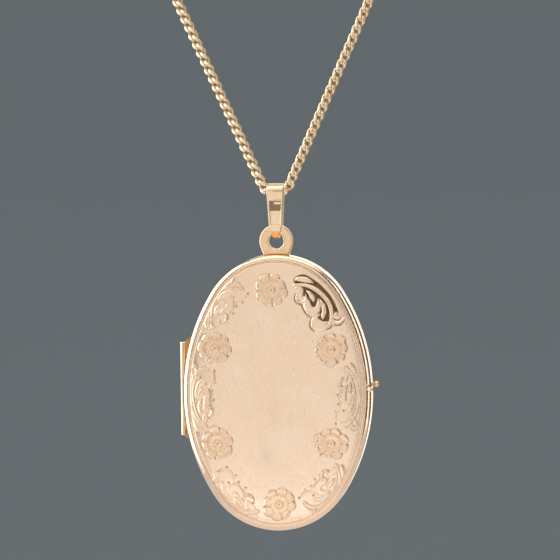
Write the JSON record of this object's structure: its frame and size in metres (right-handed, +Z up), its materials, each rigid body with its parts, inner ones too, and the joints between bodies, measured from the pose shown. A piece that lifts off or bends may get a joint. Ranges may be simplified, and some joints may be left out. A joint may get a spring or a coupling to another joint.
{
  "type": "locket",
  "caption": "Oval hinged photo locket with an engraved front, hanging from a folded bail on a curb chain with a bolt ring clasp.",
  "frame": {"origin": "middle of the bail's eye, where the chain carries the locket", "axes": "+Z up as it hangs, -Y towards the viewer of the engraved front cover, +X to that viewer's right"},
  "size_m": [0.0396, 0.005, 0.0883],
  "materials": {
    "rose_gold_face": "satin, lightly scratched",
    "gold_back": "satin",
    "gold_inner": "polished",
    "gold_fittings": "polished",
    "gold_solder": "satin",
    "gold_chain": "polished",
    "spring_steel": "bright wire",
    "clear_window": "clear polished acetate",
    "photo_card": "matt photo paper, blank"
  },
  "bodies": {
    "necklace": {"chain": "gold_chain", "left_end_ring": "gold_chain", "right_end_ring": "gold_chain", "clasp_tag": "gold_chain", "clasp_case": "gold_chain", "clasp_spring": "spring_steel"},
    "clasp_gate": {"clasp_gate": "gold_chain"},
    "bail": {"bail": "gold_fittings"},
    "back_half": {"back_cover": "gold_back", "hanging_loop": "gold_fittings", "back_hinge_seat": "gold_solder", "upper_hinge_knuckle": "gold_fittings", "lower_hinge_knuckle": "gold_fittings", "hinge_pin": "gold_fittings", "back_thumb_nib": "gold_fittings", "snap_rim": "gold_inner", "back_photo_frame": "gold_inner", "back_window": "clear_window", "back_photo": "photo_card"},
    "front_half": {"front_cover": "rose_gold_face", "front_hinge_seat": "gold_solder", "middle_hinge_knuckle": "gold_fittings", "front_thumb_nib": "gold_fittings", "catch_bead": "gold_inner", "front_photo_frame": "gold_inner", "front_window": "clear_window", "front_photo": "photo_card"}
  },
  "joints": [
    {"name": "bail_swing", "type": "hinge", "parent": "necklace", "child": "bail", "pos_m": [0, 0, 0], "axis": [1, 0, 0], "range_deg": [-80, 80]},
    {"name": "locket_swing", "type": "hinge", "parent": "bail", "child": "back_half", "pos_m": [0, 0, -0.0072], "axis": [0, 1, 0], "range_deg": [-60, 60]},
    {"name": "cover_hinge", "type": "hinge", "parent": "back_half", "child": "front_half", "pos_m": [-0.0139, 0, -0.02875], "axis": [0, 0, -1], "range_deg": [0, 175]},
    {"name": "gate_slide", "type": "hinge", "parent": "necklace", "child": "clasp_gate", "pos_m": [-0.01753, 0, 0.03562], "axis": [0, -1, 0], "range_deg": [0, 56], "stiffness_Nm_per_rad": 0.0002, "springref_deg": -17.19}
  ]
}
